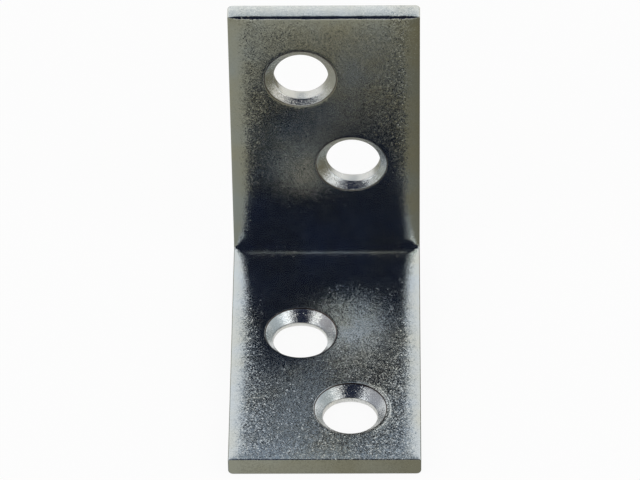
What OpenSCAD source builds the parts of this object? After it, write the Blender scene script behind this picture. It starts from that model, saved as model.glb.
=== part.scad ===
// Angle bracket: one strip of zinc-plated steel, folded square, with two staggered countersunk
// screw holes in each leg. It stands on its base leg. The wall leg rises at the back, +X runs
// across the strip, -Y along the base leg away from the wall, and +Z up. The origin is the middle
// of the base leg's underside. Each leg is drawn flat in a frame of its own first: X across the
// strip, Y along the leg from the plane of the other leg's outer face, Z from the outer face in.

/* [Strip] */
// Height of the wall leg, over the outside of the fold
wall_leg_l = 30; // [28:0.5:60]
// Length of the base leg, over the outside of the fold
base_leg_l = 30; // [28:0.5:60]
// Width of the strip
strip_w = 17.4; // [15:0.1:30]
// Thickness of the strip
strip_t = 1.9; // [1.6:0.1:3]

/* [Edges] */
// How far the inner face starts to roll down before each long edge
side_roll_w = 1.8; // [0.5:0.1:2]
// How far the inner face has dropped at each long edge
side_roll_drop = 0.22; // [0.18:0.01:0.35]
// How far the inner face starts to roll down before each cut end
end_roll_l = 2; // [0.5:0.1:2.4]
// How far the inner face has dropped at the wall leg's cut end
wall_end_drop = 0.12; // [0.03:0.01:0.35]
// How far the inner face has dropped at the base leg's cut end
base_end_drop = 0.06; // [0.03:0.01:0.35]
// Radius of the long edges on the outer face
outer_edge_r = 0.45; // [0.1:0.05:0.7]
// Radius of the cut ends' edges on the outer face
outer_end_r = 0.2; // [0.05:0.05:0.6]

/* [Fold] */
// Radius on the inside of the fold
fold_inner_r = 0.3; // [0.1:0.05:1]
// Half of the width of the crease pressed into the corner, along each inner face
crease_half_w = 0.75; // [0.5:0.05:1.2]
// Depth of the crease below both inner faces
crease_depth = 0.13; // [0.1:0.01:0.17]
// Radius in the bottom of the crease
crease_bottom_r = 0.1; // [0.05:0.01:0.15]

/* [Screw holes] */
// Diameter of the bore that clears the screw
bore_d = 5; // [3.5:0.1:5.2]
// Diameter of the countersink at the inner face
sink_d = 6.6; // [5.8:0.1:7]
// Angle across the countersink
sink_angle = 110; // [90:1:120]
// Diameter of the break-out that the punch leaves at the outer face
breakout_d = 5.9; // [5.3:0.1:6.2]
// Height of the break-out
breakout_l = 0.55; // [0.1:0.05:0.7]

/* [Hole places] */
// Lower wall hole: height above the base leg's inner face
wall_low_up = 10.4; // [6:0.1:12]
// Lower wall hole: distance to the right of the middle
wall_low_right = 2.4; // [0:0.1:3]
// Upper wall hole: height above the base leg's inner face
wall_high_up = 20.8; // [19.5:0.1:21.5]
// Upper wall hole: distance to the left of the middle
wall_high_left = 2.2; // [0:0.1:3]
// Inner base hole: distance from the wall leg's inner face
base_near_out = 11.6; // [6:0.1:12]
// Inner base hole: distance to the left of the middle
base_near_left = 2.3; // [0:0.1:3]
// Outer base hole: distance from the wall leg's inner face
base_far_out = 21.6; // [19.5:0.1:21.6]
// Outer base hole: distance to the right of the middle
base_far_right = 2.3; // [0:0.1:3]

/* [Hidden] */
// Facets round each arc in the preview
$fn = 96;
// How far a cutter runs past the face that it opens
overrun = 1;

fold_outer_r = fold_inner_r + strip_t;
heel_y = base_leg_l / 2;
// Radius of an arc that leaves a face and has dropped this far after this run
function roll_radius(run, drop) = (run * run + drop * drop) / (2 * drop);

bore_r = bore_d / 2;
sink_r = sink_d / 2;
breakout_r = breakout_d / 2;
sink_depth = (sink_r - bore_r) / tan(sink_angle / 2);

// Each hole as [across the strip, along its leg]
wall_holes = [[wall_low_right, strip_t + wall_low_up], [-wall_high_left, strip_t + wall_high_up]];
base_holes = [[-base_near_left, strip_t + base_near_out], [base_far_right, strip_t + base_far_out]];

// Each flank of the crease leans this far from its face, and the flanks open this wide
flank_lean = atan2(crease_depth, crease_half_w + crease_depth);
flank_half_angle = 45 - flank_lean;
// Where the rounded bottom touches the flanks, and its centre, both from the crease's sharp line
flank_touch = crease_bottom_r / tan(flank_half_angle);
bottom_centre = crease_bottom_r / sin(flank_half_angle);

// Cross-section of the strip: the outer face lies on y = 0, the inner face on y = strip_t
module strip_section() {
    roll_r = roll_radius(side_roll_w, side_roll_drop);
    flat_w = strip_w - 2 * side_roll_w;
    intersection() {
        union() {
            translate([-flat_w / 2, 0]) square([flat_w, strip_t]);
            for (side = [-1, 1])
                translate([side * flat_w / 2, strip_t - roll_r]) circle(roll_r);
        }
        union() {
            translate([-strip_w / 2, outer_edge_r]) square([strip_w, strip_t - outer_edge_r]);
            translate([-strip_w / 2 + outer_edge_r, 0]) square([strip_w - 2 * outer_edge_r, strip_t]);
            for (side = [-1, 1])
                translate([side * (strip_w / 2 - outer_edge_r), outer_edge_r]) circle(outer_edge_r);
        }
    }
}

// Side view of a leg from the fold to its cut end, along x from the other leg's outer face
module leg_profile(leg_l, end_drop) {
    roll_r = roll_radius(end_roll_l, end_drop);
    flat_end = leg_l - end_roll_l;
    intersection() {
        union() {
            translate([fold_outer_r, 0]) square([flat_end - fold_outer_r, strip_t]);
            translate([flat_end, strip_t - roll_r]) circle(roll_r);
        }
        union() {
            translate([fold_outer_r, 0]) square([leg_l - fold_outer_r - outer_end_r, strip_t]);
            translate([fold_outer_r, outer_end_r]) square([leg_l - fold_outer_r, strip_t - outer_end_r]);
            translate([leg_l - outer_end_r, outer_end_r]) circle(outer_end_r);
        }
    }
}

// Straight part of a leg, flat in its own frame
module flat_leg(leg_l, end_drop) {
    intersection() {
        mirror([0, 1, 0]) rotate([90, 0, 0]) linear_extrude(leg_l) strip_section();
        rotate([90, 0, 90]) linear_extrude(strip_w, center = true) leg_profile(leg_l, end_drop);
    }
}

// Stands a leg's own frame up as the wall leg
module as_wall() {
    translate([0, heel_y, 0]) rotate([90, 0, 0]) children();
}

// Lays a leg's own frame down as the base leg
module as_base() {
    translate([0, heel_y, 0]) mirror([0, 1, 0]) children();
}

// Quarter ring of the strip that joins the legs
module fold() {
    translate([0, heel_y - fold_outer_r, fold_outer_r])
        rotate([-90, 0, 90])
            rotate_extrude(angle = 90)
                translate([fold_outer_r, 0]) rotate(90) strip_section();
}

// Cutter for the pressed crease in the inside corner. Its outline is drawn as [away from the wall
// face, above the base face], and the rolled long edges bring both its ends to a point.
module crease() {
    sharp_line = [-crease_depth, -crease_depth];
    base_touch = sharp_line + flank_touch * [cos(flank_lean), sin(flank_lean)];
    wall_touch = sharp_line + flank_touch * [sin(flank_lean), cos(flank_lean)];
    round_centre = sharp_line + bottom_centre * [cos(45), sin(45)];
    translate([0, heel_y - strip_t, strip_t])
        rotate([90, 0, -90])
            linear_extrude(strip_w + 2 * overrun, center = true) {
                polygon([
                    [crease_half_w, 0],
                    [crease_half_w, crease_half_w],
                    [0, crease_half_w],
                    wall_touch,
                    base_touch
                ]);
                translate(round_centre) circle(crease_bottom_r);
            }
}

// Cutter for one screw hole: countersink from the inner face, straight bore, break-out behind
module screw_hole() {
    translate([0, 0, -overrun]) cylinder(h = strip_t + 2 * overrun, r = bore_r);
    translate([0, 0, strip_t - sink_depth]) cylinder(h = sink_depth, r1 = bore_r, r2 = sink_r);
    translate([0, 0, strip_t]) cylinder(h = overrun, r = sink_r);
    cylinder(h = breakout_l, r1 = breakout_r, r2 = bore_r);
    translate([0, 0, -overrun]) cylinder(h = overrun, r = breakout_r);
}

module screw_holes(places) {
    for (place = places)
        translate([place[0], place[1], 0]) screw_hole();
}

module bracket() {
    color([0.66, 0.68, 0.68])
        difference() {
            union() {
                as_wall() flat_leg(wall_leg_l, wall_end_drop);
                as_base() flat_leg(base_leg_l, base_end_drop);
                fold();
            }
            crease();
            as_wall() screw_holes(wall_holes);
            as_base() screw_holes(base_holes);
        }
}

bracket();
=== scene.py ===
"""Looks of a small zinc-plated steel angle bracket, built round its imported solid.

The bracket is made here the way the real one is: a flat strip with rolled-down edges, four
countersunk screw holes punched through it, a crease pressed across its inner face, and a fold of
90 degrees at the crease. Everything is in metres. A flat strip lies with X across it, Y along it
from the base leg's free end to the wall leg's, and Z from its outer face to its inner face.
"""

import logging
import math
from collections.abc import Iterable, Sequence
from dataclasses import dataclass, field
from enum import Enum

import bpy
import numpy as np
from mathutils import Matrix, Vector


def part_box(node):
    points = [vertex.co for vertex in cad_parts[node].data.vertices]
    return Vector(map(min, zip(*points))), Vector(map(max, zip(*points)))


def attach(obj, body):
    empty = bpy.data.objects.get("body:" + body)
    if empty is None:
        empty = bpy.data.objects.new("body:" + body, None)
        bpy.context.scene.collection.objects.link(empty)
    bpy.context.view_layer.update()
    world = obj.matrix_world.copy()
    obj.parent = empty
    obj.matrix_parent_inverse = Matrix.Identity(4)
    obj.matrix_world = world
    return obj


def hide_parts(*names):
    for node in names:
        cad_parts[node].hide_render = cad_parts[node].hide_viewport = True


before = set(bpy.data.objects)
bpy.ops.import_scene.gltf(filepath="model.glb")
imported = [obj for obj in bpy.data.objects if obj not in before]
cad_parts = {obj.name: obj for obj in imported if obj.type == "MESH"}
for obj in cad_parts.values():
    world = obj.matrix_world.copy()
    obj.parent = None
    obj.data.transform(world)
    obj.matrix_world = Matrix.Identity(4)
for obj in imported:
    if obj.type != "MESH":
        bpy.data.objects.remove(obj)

logging.basicConfig(level=logging.INFO, format="%(name)s: %(message)s")
LOG = logging.getLogger("bracket")

MM = 0.001
QUARTER_TURN = math.pi / 2

# Waves along the sheared edge, as waves across the strip and their shift
EDGE_WAVES = ((3.1, 0.15), (7.3, 0.62), (13.7, 0.31), (26.3, 0.85))
# Waves round the break-out's ragged edge
RAGGED_WAVES = (3, 5, 9, 14, 23)
# Values between which most of a noise lies
NOISE_SPAN = (0.3, 0.7)
# A pit's chance, from -0.5 to 0.5, at which it starts to show and is as deep as any
PIT_SPAN = (0.0, 0.4)
# Size of a cluster of flecks against a fleck's
CLUSTER_SCALE = 2.3
# What the length of a fleck's random vector is multiplied by, and the power it is then raised to
TAIL_SCALE = 1.9
TAIL_POWER = 3
# What the cosine of the turn from a lip's middle is multiplied by, and what is taken off that
LIP_FADE = (1.6, 0.3)
# Turn of a lip's middle from +X, in radians
LIP_TURN = 0.15
# Rings of a lining over its dished rim, down the countersink and over the break-out
DISH_RINGS, CONE_RINGS, FLARE_RINGS = 9, 7, 5
# Stations round the edge of a cut end
END_STATIONS = 9
# Lines from the inner face's last one to a long edge's inner corner
ROLL_LINES = 5
# Turns round that corner at which the mesh has lines, in degrees
CORNER_TURNS = (20, 38, 56, 74, 90)
# Lines round its outer corner
ROUND_LINES = 8
# Points across and up each bent card, and round each flat round one
CARD_GRID = (13, 17)
DISC_POINTS = 96
# Width of the camera's film, which Blender takes in millimetres
FILM_WIDTH = 36
# Nearest and furthest that the camera sees
CLIP_RANGE = (0.05, 10)
# Attributes that the finishes don't go by, which the baked mesh leaves out
HELPER_ATTRIBUTES = (
    "zone", "hole_turn", "hole_centre", "bore_shift", "bore_share", "lip_h", "lip_share",
)
# Shares of the way from a hole's square patch to its round collar, at which rings of faces end
COLLAR_STEPS = (0.35, 0.7, 1.0)
# Heights of the mesh's lines down a long edge
SIDE_HEIGHTS = (1.45 * MM, 1.15 * MM, 0.85 * MM, 0.6 * MM)
# Distances from a cut end of the stations where its rounding has ended
SETTLE_STEPS = np.array([0.4, 0.52, 0.68, 0.88, 1.12, 1.4, 1.7]) * MM


class Zone(Enum):
    """Stretches of the bracket's skin that carry their own finish."""

    FACE = 0
    CUT_END = 1
    COUNTERSINK = 2
    BORE = 3
    # Painted shade: a thin near-black ring round each hole's rim stands in for the shade along that edge
    RIM = 4


class Leg(Enum):
    """The two legs, with the direction in which each runs from the fold in the flat strip."""

    BASE = -1
    WALL = 1


@dataclass
class Skin:
    """Points and faces gathered for one mesh.

    Attributes:
        points: Blocks of points, each an array of rows of X, Y and Z.
        faces: Point numbers of each face, turning left round its outward side.
        zones: Finish zone of each face.
        count: Number of points so far.
    """

    points: list[np.ndarray] = field(default_factory=list)
    faces: list[tuple[int, ...]] = field(default_factory=list)
    zones: list[int] = field(default_factory=list)
    count: int = 0

    def add_points(self, block: np.ndarray) -> np.ndarray:
        """Adds a block of points of any shape.

        Args:
            block: Array whose last axis holds X, Y and Z.

        Returns:
            The new points' numbers, in the block's own shape.
        """
        rows = np.asarray(block, float).reshape(-1, 3)
        self.points.append(rows)
        numbers = np.arange(self.count, self.count + len(rows))
        self.count += len(rows)
        return numbers.reshape(np.shape(block)[:-1])

    def add_face(self, corners: Sequence[int], zone: Zone) -> None:
        """Adds one face.

        Args:
            corners: Point numbers, turning left round the outward side.
            zone: Finish zone of the face.
        """
        self.faces.append(tuple(int(corner) for corner in corners))
        self.zones.append(zone.value)

    def bridge(self, first: np.ndarray, second: np.ndarray, zone: Zone, closed: bool = True) -> None:
        """Joins two rows of as many points with four-sided faces.

        Args:
            first: Point numbers of the row on the right of the walk, seen from outside.
            second: Point numbers of the row on its left.
            zone: Finish zone of the faces.
            closed: Whether the rows are rings.
        """
        steps = len(first) if closed else len(first) - 1
        for here in range(steps):
            there = (here + 1) % len(first)
            self.add_face((first[here], first[there], second[there], second[here]), zone)

    def drop_unused(self) -> None:
        """Leaves out the points that no face uses, and numbers the others afresh."""
        used = np.unique(np.concatenate(self.faces))
        number = np.zeros(self.count, int)
        number[used] = np.arange(len(used))
        self.points = [np.concatenate(self.points)[used]]
        self.faces = [tuple(int(number[corner]) for corner in face) for face in self.faces]
        self.count = len(used)

    def to_object(self, name: str) -> bpy.types.Object:
        """Makes an object of the gathered skin.

        Args:
            name: Name of the object and its mesh.

        Returns:
            The object, linked to the scene, with its zones in a face attribute.
        """
        mesh = bpy.data.meshes.new(name)
        mesh.from_pydata(np.concatenate(self.points).tolist(), [], self.faces)
        zone = mesh.attributes.new("zone", "INT", "FACE")
        zone.data.foreach_set("value", self.zones)
        made = bpy.data.objects.new(name, mesh)
        bpy.context.scene.collection.objects.link(made)
        return made


def store_points(target: bpy.types.Object, name: str, kind: str, values: np.ndarray) -> None:
    """Keeps a value for each point of an object's mesh in an attribute.

    Args:
        target: The object.
        name: Name of the attribute.
        kind: Blender's name for its type.
        values: The values, one or one row for each point.
    """
    attribute = target.data.attributes.new(name, kind, "POINT")
    attribute.data.foreach_set("vector" if kind == "FLOAT_VECTOR" else "value", values.ravel())


@dataclass
class NodeSheet:
    """A node tree under construction.

    Attributes:
        tree: The tree that receives the nodes.
    """

    tree: bpy.types.NodeTree

    def add(self, kind: str, inputs: dict[str | int, object] | None = None,
            **settings: object) -> bpy.types.Node:
        """Adds a node.

        Args:
            kind: Blender's name for the node type.
            inputs: Socket name or number to a value or to the socket that feeds it.
            **settings: Properties of the node.

        Returns:
            The node.
        """
        node = self.tree.nodes.new(kind)
        for name, value in settings.items():
            setattr(node, name, value)
        for name, value in (inputs or {}).items():
            self.feed(node.inputs[name], value)
        return node

    def feed(self, socket: bpy.types.NodeSocket, value: object) -> None:
        """Links a socket to another, or sets its value.

        Args:
            socket: The input.
            value: A socket to link, or a plain value.
        """
        if isinstance(value, bpy.types.NodeSocket):
            self.tree.links.new(value, socket)
        else:
            socket.default_value = value

    def math(self, operation: str, *values: object) -> bpy.types.NodeSocket:
        """Adds a Math node.

        Args:
            operation: Blender's name for the operation.
            *values: Its operands, as sockets or numbers.

        Returns:
            The result's socket.
        """
        node = self.add("ShaderNodeMath", operation=operation)
        for socket, value in zip(node.inputs, values):
            self.feed(socket, value)
        return node.outputs[0]

    def vector(self, operation: str, *values: object) -> bpy.types.NodeSocket:
        """Adds a Vector Math node.

        Args:
            operation: Blender's name for the operation.
            *values: Its operands, as sockets or vectors, or a vector and a number for SCALE.

        Returns:
            The result's socket, which is a number for a DOT_PRODUCT or LENGTH.
        """
        node = self.add("ShaderNodeVectorMath", operation=operation)
        sockets = (node.inputs[0], node.inputs["Scale"]) if operation == "SCALE" else node.inputs
        for socket, value in zip(sockets, values):
            self.feed(socket, value)
        return node.outputs["Value" if operation in ("DOT_PRODUCT", "LENGTH") else "Vector"]

    def ramp(self, value: bpy.types.NodeSocket, span: tuple[float, float],
             goal: tuple[float, float] = (0, 1), smooth: bool = False) -> bpy.types.NodeSocket:
        """Adds a change that runs over a span and stays level past its ends.

        Args:
            value: What the change goes by.
            span: That value at the change's start and end.
            goal: The result there.
            smooth: Whether it eases in and out.

        Returns:
            The result's socket.
        """
        ends = {"From Min": span[0], "From Max": span[1], "To Min": goal[0], "To Max": goal[1]}
        node = self.add("ShaderNodeMapRange", {"Value": value, **ends})
        node.interpolation_type = "SMOOTHSTEP" if smooth else "LINEAR"
        return node.outputs[0]

    def split(self, vector: bpy.types.NodeSocket) -> bpy.types.NodeOutputs:
        """Takes a vector apart into its X, Y and Z."""
        return self.add("ShaderNodeSeparateXYZ", {0: vector}).outputs

    def combine(self, **parts: object) -> bpy.types.NodeSocket:
        """Makes a vector of what is given as X, Y or Z, with 0 for the rest."""
        return self.add("ShaderNodeCombineXYZ", parts).outputs[0]

    def noise(self, place: bpy.types.NodeSocket, size: float,
              detail: float = 3) -> bpy.types.NodeSocket:
        """Adds a noise of specks of one size, in metres, from 0 to 1."""
        specks = {"Vector": place, "Scale": 1 / size, "Detail": detail}
        return self.add("ShaderNodeTexNoise", specks).outputs["Fac"]

    def mix(self, share: bpy.types.NodeSocket, first: object, second: object) -> bpy.types.NodeSocket:
        """Adds a mix of two colours.

        Args:
            share: Share of the second colour.
            first: The first colour, as a socket or a value.
            second: The second, likewise.

        Returns:
            The mixed colour's socket.
        """
        # A Mix node has its colours at inputs 6 and 7 and at output 2
        node = self.add("ShaderNodeMix", {0: share, 6: first, 7: second}, data_type="RGBA")
        return node.outputs[2]


@dataclass
class HoleSite:
    """Place of one screw hole.

    Attributes:
        leg: The leg that it goes through.
        right: Distance from the strip's middle towards +X.
        out: Distance from the other leg's inner face.
        turn_steps: Steps that its lining is turned by, so that no two holes look the same.
        bore_right: How far the punched bore sits off the countersink's middle, towards +X.
        bore_out: How far it sits off it, away from the other leg.
        bore_rise: How much shallower the countersink is than the others.
        lip_h: Height of the lip that the countersink raised round its right side, or 0.
    """

    leg: Leg
    right: float
    out: float
    turn_steps: int
    bore_right: float
    bore_out: float
    bore_rise: float = 0
    lip_h: float = 0


@dataclass
class ScrewHole:
    """A punched and countersunk hole, drawn upright on its own axis, from the outer face at z = 0.

    Attributes:
        thickness: Thickness of the strip.
        bore_r: Radius of the straight bore.
        sink_r: Radius of the countersink at the inner face.
        sink_depth: Depth of the countersink.
        breakout_r: Radius of the punch's break-out at the outer face.
        breakout_l: Height of the break-out.
        edge_r: Radius worn on the hole's edges.
        dish: How far the countersink drew the face down at its rim.
        lip_w: Half width of the lip that some rims have on one side.
        ragged_h: How ragged the break-out's edge is.
        land_guard: How far below the land's upper end the ring is that keeps that end sharp.
        breakout_guard: How far above the break-out such a ring is.
        collar_r: Radius at which the lining meets the strip's faces.
        segments: Points round the hole.
        seed: Seed of the break-out's ragged edge.
    """

    thickness: float
    bore_r: float = 2.5 * MM
    sink_r: float = 3.3 * MM
    sink_depth: float = 0.56 * MM
    breakout_r: float = 2.95 * MM
    breakout_l: float = 0.55 * MM
    edge_r: float = 0.08 * MM
    dish: float = 0.02 * MM
    lip_w: float = 0.11 * MM
    ragged_h: float = 0.035 * MM
    land_guard: float = 0.15 * MM
    breakout_guard: float = 0.12 * MM
    collar_r: float = 3.75 * MM
    segments: int = 112
    seed: int = 7

    def angles(self) -> np.ndarray:
        """Angle of each point round the hole, from the corner of its patch at -135 degrees."""
        return np.radians(-135 + 360 * np.arange(self.segments) / self.segments)

    def profile(self) -> list[tuple[float, float, Zone]]:
        """Outline of the lining from the inner face's collar to the outer face's.

        Returns:
            Radius, height and the zone of the stretch that starts there, for each point.
        """
        top, edge, bore_r, sink_r = self.thickness, self.edge_r, self.bore_r, self.sink_r
        rim_z, sink_z = top - self.dish, top - self.sink_depth
        # The steps round each edge are written as shares of its radius
        dished_r = np.linspace(self.collar_r, sink_r + 1.4 * edge, DISH_RINGS)
        sag = self.dish * ((self.collar_r - dished_r) / (self.collar_r - sink_r)) ** 2
        cone_r = np.linspace(sink_r - 0.7 * edge, bore_r + 0.7 * edge, CONE_RINGS)
        slope = (self.sink_depth - self.dish) / (sink_r - bore_r)
        land_top = sink_z - 0.7 * edge
        flare_r = np.linspace(bore_r, self.breakout_r, FLARE_RINGS)[:-1]
        flare_z = self.breakout_l * (self.breakout_r - flare_r) / (self.breakout_r - bore_r)
        return [
            *((r, z, Zone.FACE) for r, z in zip(dished_r, top - sag)),
            # These two rings carry the rim's painted shade
            (sink_r + 0.5 * edge, rim_z - 0.03 * edge, Zone.RIM),
            (sink_r, rim_z - 0.3 * edge, Zone.RIM),
            *((r, z, Zone.COUNTERSINK) for r, z in zip(cone_r, rim_z - (sink_r - cone_r) * slope)),
            (bore_r + 0.15 * edge, sink_z - 0.1 * edge, Zone.BORE),
            (bore_r, land_top, Zone.BORE),
            (bore_r, land_top - self.land_guard, Zone.BORE),
            (bore_r, self.breakout_l + self.breakout_guard, Zone.BORE),
            *((r, z, Zone.BORE) for r, z in zip(flare_r, flare_z)),
            (self.breakout_r - 0.2 * edge, 0.3 * edge, Zone.BORE),
            (self.breakout_r + edge, 0, Zone.FACE),
            (self.collar_r, 0, Zone.FACE),
        ]

    def lining(self) -> bpy.types.Object:
        """Revolves the outline into the lining, with its ragged break-out.

        Returns:
            An object with the lining's mesh. Its hole_place attribute holds radius, height and angle,
            its bore_share attribute says how far a point goes with the bore and rises with it, and
            its lip_share attribute how far it rises with a lip.
        """
        angles = self.angles()
        draws = np.random.default_rng(self.seed)
        ragged = sum(
            draws.uniform(0.2, 1) / wave * np.cos(wave * angles + draws.uniform(0, 2 * math.pi))
            for wave in RAGGED_WAVES
        )
        skin = Skin()
        rings = []
        places = []
        shares = []
        lips = []
        outline = self.profile()
        for radius, height, _ in outline:
            in_flare = self.bore_r < radius < self.breakout_r and height < self.breakout_l
            shift = self.ragged_h * ragged * (radius - self.bore_r) / (self.breakout_r - self.bore_r)
            reach = radius + (shift if in_flare else 0)
            ring = np.stack([reach * np.cos(angles), reach * np.sin(angles), height + 0 * angles], -1)
            rings.append(skin.add_points(ring))
            places.append(np.stack([radius + 0 * angles, ring[:, 2], angles], -1))
            shares.append(np.tile(self.bore_share(radius, height), (self.segments, 1)))
            lips.append(self.lip_share(radius, height, angles))
        for (_, _, zone), upper, lower in zip(outline, rings, rings[1:]):
            skin.bridge(upper, lower, zone)
        made = skin.to_object("screw_hole_lining")
        store_points(made, "hole_place", "FLOAT_VECTOR", np.concatenate(places))
        store_points(made, "bore_share", "FLOAT_VECTOR", np.concatenate(shares))
        store_points(made, "lip_share", "FLOAT", np.concatenate(lips))
        return made

    def lip_share(self, radius: float, height: float, angles: np.ndarray) -> np.ndarray:
        """Shape of a raised lip, which stands a little outside the rim and fades out to its ends.

        Args:
            radius: Radius of the ring.
            height: Height of the ring over the outer face.
            angles: Angle of each point of the ring.

        Returns:
            Share of the lip's height at each point.
        """
        if not self.sink_r + self.edge_r < radius < self.collar_r or height < self.breakout_l:
            return 0 * angles
        away = (radius - (self.collar_r + self.sink_r) / 2 - 0.3 * self.edge_r) / self.lip_w
        scale, taken_off = LIP_FADE
        return math.exp(-away * away) * np.clip(scale * np.cos(angles - LIP_TURN) - taken_off, 0, 1)

    def bore_share(self, radius: float, height: float) -> tuple[float, float, float]:
        """How far a ring of the lining follows an off-centre bore.

        The countersink stays where it is, so its edge with the bore rises where the bore comes nearer.

        Args:
            radius: Radius of the ring.
            height: Height of the ring over the outer face.

        Returns:
            Shares of the shift across and along the strip, and of the rise.
        """
        land_top = self.thickness - self.sink_depth
        on_cone = min(max((self.sink_r - radius) / (self.sink_r - self.bore_r), 0), 1)
        if height > land_top - self.edge_r:
            return on_cone, on_cone, on_cone
        fade = min(max((self.collar_r - radius) / (self.collar_r - self.breakout_r - self.edge_r), 0), 1)
        return fade, fade, max((height - self.breakout_l) / (land_top - self.breakout_l), 0)


@dataclass
class Strip:
    """The flat strip that the bracket is folded from.

    Attributes:
        width: Width across the long edges.
        base_leg: Length of the base leg over the fold's outside.
        wall_leg: Height of the wall leg over the fold's outside.
        thickness: Thickness of the strip.
        fold_inner_r: Radius on the inside of the fold.
        side_roll_w: How far the inner face starts to roll down before a long edge.
        side_roll_drop: How far it has dropped at the long edge.
        end_roll_l: How far the inner face starts to roll down before a cut end.
        end_roll_drop: How far it has dropped at the cut end.
        outer_edge_r: Radius of the long edges on the outer face.
        inner_edge_r: Radius of the long edges on the inner face.
        end_straight_l: How far from a cut end the inner face starts to level out across the strip.
        end_edge_r: Radius of the cut ends' edges, apart from the wall leg's inner one.
        sheared_edge_r: Radius of the wall leg's end at its inner face, where the shear drew it down.
        sheared_waver: How much that radius wavers along the edge.
        sheared_run: How far from each corner that radius reaches its full size.
        sheared_clear: How far from each corner it starts to grow.
        sheared_fall: How far the wall leg's end face falls back from its inner edge to its outer.
        fall_run: How far from the end the fall starts.
        crease_half_w: Half width of the pressed crease, along each inner face.
        crease_depth: Depth of the crease below both inner faces.
        crease_blend: How softly the crease's flanks meet the faces.
        bead_h: Height of the metal pushed up beside the crease.
        bead_w: Half width of that bead.
        bead_out: How far its top is outside the crease.
        grid: Spacing of the mesh away from edges and fold.
        fold_grid: Spacing of its stations over the fold and the crease.
        patch_cells: Mesh cells across the square patch round each hole.
        sites: The screw holes.
    """

    width: float
    base_leg: float
    wall_leg: float
    thickness: float = 1.9 * MM
    fold_inner_r: float = 0.3 * MM
    side_roll_w: float = 1.8 * MM
    side_roll_drop: float = 0.22 * MM
    end_roll_l: float = 2.0 * MM
    end_roll_drop: float = 0.06 * MM
    outer_edge_r: float = 0.45 * MM
    inner_edge_r: float = 0.16 * MM
    end_straight_l: float = 1.1 * MM
    end_edge_r: float = 0.08 * MM
    sheared_edge_r: float = 0.28 * MM
    sheared_waver: float = 0.06 * MM
    sheared_run: float = 0.84 * MM
    sheared_clear: float = 0.14 * MM
    sheared_fall: float = 0.09 * MM
    fall_run: float = 2.0 * MM
    crease_half_w: float = 0.88 * MM
    crease_depth: float = 0.13 * MM
    crease_blend: float = 0.06 * MM
    bead_h: float = 0.008 * MM
    bead_w: float = 0.4 * MM
    bead_out: float = 0.4 * MM
    grid: float = 0.3 * MM
    fold_grid: float = 0.055 * MM
    patch_cells: int = 28
    sites: list[HoleSite] = field(default_factory=lambda: [
        HoleSite(Leg.WALL, 2.4 * MM, 10.4 * MM, 11, 0.14 * MM, -0.06 * MM),
        HoleSite(Leg.WALL, -2.2 * MM, 20.8 * MM, 52, 0.05 * MM, -0.18 * MM, bore_rise=0.06 * MM),
        HoleSite(Leg.BASE, -2.3 * MM, 11.6 * MM, 73, -0.06 * MM, 0.08 * MM, bore_rise=-0.42 * MM),
        HoleSite(Leg.BASE, 2.3 * MM, 21.6 * MM, 0, -0.03 * MM, 0.18 * MM, bore_rise=-0.18 * MM,
                 lip_h=0.045 * MM),
    ])

    @property
    def fold_outer_r(self) -> float:
        """Radius on the outside of the fold."""
        return self.fold_inner_r + self.thickness

    @property
    def half_fold(self) -> float:
        """Half of the flat length that the fold takes up, along the middle of the strip."""
        return QUARTER_TURN / 2 * (self.fold_inner_r + self.thickness / 2)

    def flat_y(self, leg: Leg, from_heel: float) -> float:
        """Place along the flat strip.

        Args:
            leg: The leg.
            from_heel: Distance along it from the other leg's outer face.

        Returns:
            Y in the flat strip.
        """
        return leg.value * (self.half_fold + from_heel - self.fold_outer_r)

    @staticmethod
    def roll(past: np.ndarray, run: float, drop: float) -> np.ndarray:
        """Drop of an arc that leaves a face level and has dropped by a given amount after its run.

        Args:
            past: Distances past the arc's start, which are cut off at its run.
            run: Length of the arc along the face.
            drop: Its drop at the end.

        Returns:
            The drop at each distance.
        """
        radius = (run * run + drop * drop) / (2 * drop)
        return radius - np.sqrt(radius * radius - np.clip(past, 0, run) ** 2)

    def side_drop(self, x: np.ndarray) -> np.ndarray:
        """How far the inner face has rolled down towards the long edges.

        Args:
            x: Distances from the strip's middle.

        Returns:
            The drop at each.
        """
        past = np.abs(x) - (self.width / 2 - self.side_roll_w)
        return self.roll(past, self.side_roll_w, self.side_roll_drop)

    def end_drop(self, y: np.ndarray) -> np.ndarray:
        """How far the inner face has rolled down towards the cut ends.

        Args:
            y: Places along the flat strip.

        Returns:
            The drop at each.
        """
        total = np.zeros_like(y)
        for leg, length in ((Leg.BASE, self.base_leg), (Leg.WALL, self.wall_leg)):
            past = leg.value * (y - self.flat_y(leg, length)) + self.end_roll_l
            total += self.roll(past, self.end_roll_l, self.end_roll_drop)
        return total

    def levelled(self, y: np.ndarray) -> np.ndarray:
        """How far the shear pressed the rolled long edges level, from 0 to 1 at the cut ends.

        Args:
            y: Places along the flat strip.

        Returns:
            The share at each.
        """
        base_end, wall_end = self.flat_y(Leg.BASE, self.base_leg), self.flat_y(Leg.WALL, self.wall_leg)
        from_end = np.minimum(y - base_end, wall_end - y)
        return np.clip(1 - from_end / self.end_straight_l, 0, 1)

    def crease_drop(self, y: np.ndarray, side_drop: np.ndarray) -> np.ndarray:
        """Depth below the strip's flat inner face that gives the crease once the strip is folded.

        Each flank of the folded crease is an arc. It leaves the crease's bottom along the face that
        it belongs to, and is steepest where it meets that face.

        Args:
            y: Places along the flat strip.
            side_drop: Drop of the inner face at each place.

        Returns:
            The whole drop at each place, with the faces' own.
        """
        half_w, depth, inner_r = self.crease_half_w, self.crease_depth, self.fold_inner_r
        arc_r = ((half_w + depth) ** 2 + depth ** 2) / (2 * depth)
        turn = np.clip(np.abs(y), 0, self.half_fold) / self.half_fold * QUARTER_TURN / 2
        # Angle from the straight leg's end of the fold, up to half of the fold at y = 0
        angle = QUARTER_TURN / 2 - turn
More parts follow.
